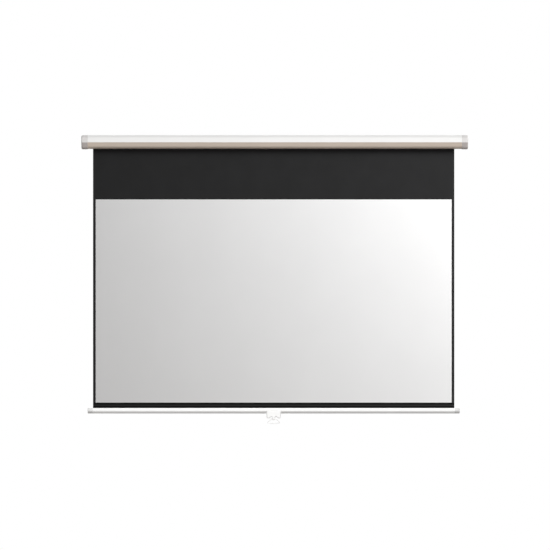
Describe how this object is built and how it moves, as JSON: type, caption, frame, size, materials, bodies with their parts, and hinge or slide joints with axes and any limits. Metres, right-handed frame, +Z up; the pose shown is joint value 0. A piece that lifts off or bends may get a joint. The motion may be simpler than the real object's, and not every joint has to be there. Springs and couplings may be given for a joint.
{
  "type": "pull down projector screen",
  "caption": "Wall-hung pull-down projector screen: long painted case, spring roller, light cloth with black borders, weighted bottom bar with grip and ring.",
  "frame": {"origin": "middle of the case's flat back face, on the wall plane", "axes": "+X to the viewer's right along the case, +Y into the wall, +Z up; the picture faces -Y"},
  "size_m": [2.154, 0.0699, 1.6086],
  "materials": {
    "case_paint": "satin off-white powder coat",
    "cap_plastic": "fine-grained off-white moulding",
    "zinc_plate": "bright zinc-plated pressing",
    "screw_steel": "zinc-plated",
    "turned_steel": "turned and oiled",
    "tube_aluminium": "mill finish",
    "nylon": "natural nylon",
    "black_cloth": "matt black coating with a fine weave",
    "viewing_cloth": "matt white coating with a fine weave",
    "bar_paint": "white powder coat",
    "plug_plastic": "light grey moulding",
    "handle_plastic": "smooth white moulding"
  },
  "bodies": {
    "case": {"housing": "case_paint", "end_bracket_left": "zinc_plate", "end_bracket_right": "zinc_plate", "end_cap_left": "cap_plastic", "end_cap_right": "cap_plastic", "cap_screw_left_1": "screw_steel", "cap_screw_left_2": "screw_steel", "cap_screw_left_3": "screw_steel", "cap_screw_right_1": "screw_steel", "cap_screw_right_2": "screw_steel", "cap_screw_right_3": "screw_steel", "bearing_bush": "nylon", "spear_shaft": "turned_steel", "ratchet_wheel": "turned_steel", "retaining_clip": "turned_steel", "spring_anchor_fixed": "nylon", "torsion_spring": "turned_steel", "screen_fabric": "viewing_cloth", "black_masking": "black_cloth"},
    "roller": {"roller_tube": "tube_aluminium", "fabric_roll": "black_cloth", "idle_plug": "nylon", "gudgeon_pin": "turned_steel", "drive_plug": "nylon", "pawl_cover": "zinc_plate", "pawl_pin_upper": "turned_steel", "pawl_pin_lower": "turned_steel", "spring_anchor_turning": "nylon"},
    "upper_pawl": {"pawl_upper": "turned_steel"},
    "lower_pawl": {"pawl_lower": "turned_steel"},
    "weight_bar": {"bottom_bar": "bar_paint", "screen_hem": "black_cloth", "weight_rod": "turned_steel", "bar_plug_left": "plug_plastic", "bar_plug_right": "plug_plastic", "handle_grip": "handle_plastic", "handle_screw_1": "screw_steel", "handle_screw_2": "screw_steel"},
    "ring": {"pull_ring": "handle_plastic"}
  },
  "joints": [
    {"name": "bar_slide", "type": "slide", "parent": "case", "child": "weight_bar", "axis": [0, 0, 1], "range_m": [0, 1.441], "deforming": ["screen_fabric", "black_masking"]},
    {"name": "roller_spin", "type": "hinge", "parent": "case", "child": "roller", "pos_m": [0, -0.038, 0.002], "axis": [1, 0, 0], "range_deg": [0, 3806]},
    {"name": "upper_pawl_swing", "type": "hinge", "parent": "roller", "child": "upper_pawl", "pos_m": [1.0176, -0.038, 0.0175], "axis": [-1, 0, 0], "range_deg": [0, 46]},
    {"name": "lower_pawl_swing", "type": "hinge", "parent": "roller", "child": "lower_pawl", "pos_m": [1.0176, -0.038, -0.0135], "axis": [1, 0, 0], "range_deg": [0, 46]},
    {"name": "ring_swing", "type": "hinge", "parent": "weight_bar", "child": "ring", "pos_m": [-0.006, -0.0154, -1.5434], "axis": [1, 0, 0], "range_deg": [-80, 80]}
  ],
  "couplings": [
    {"joint": "roller_spin", "follows": "bar_slide", "rad_per_m": 46.08}
  ]
}
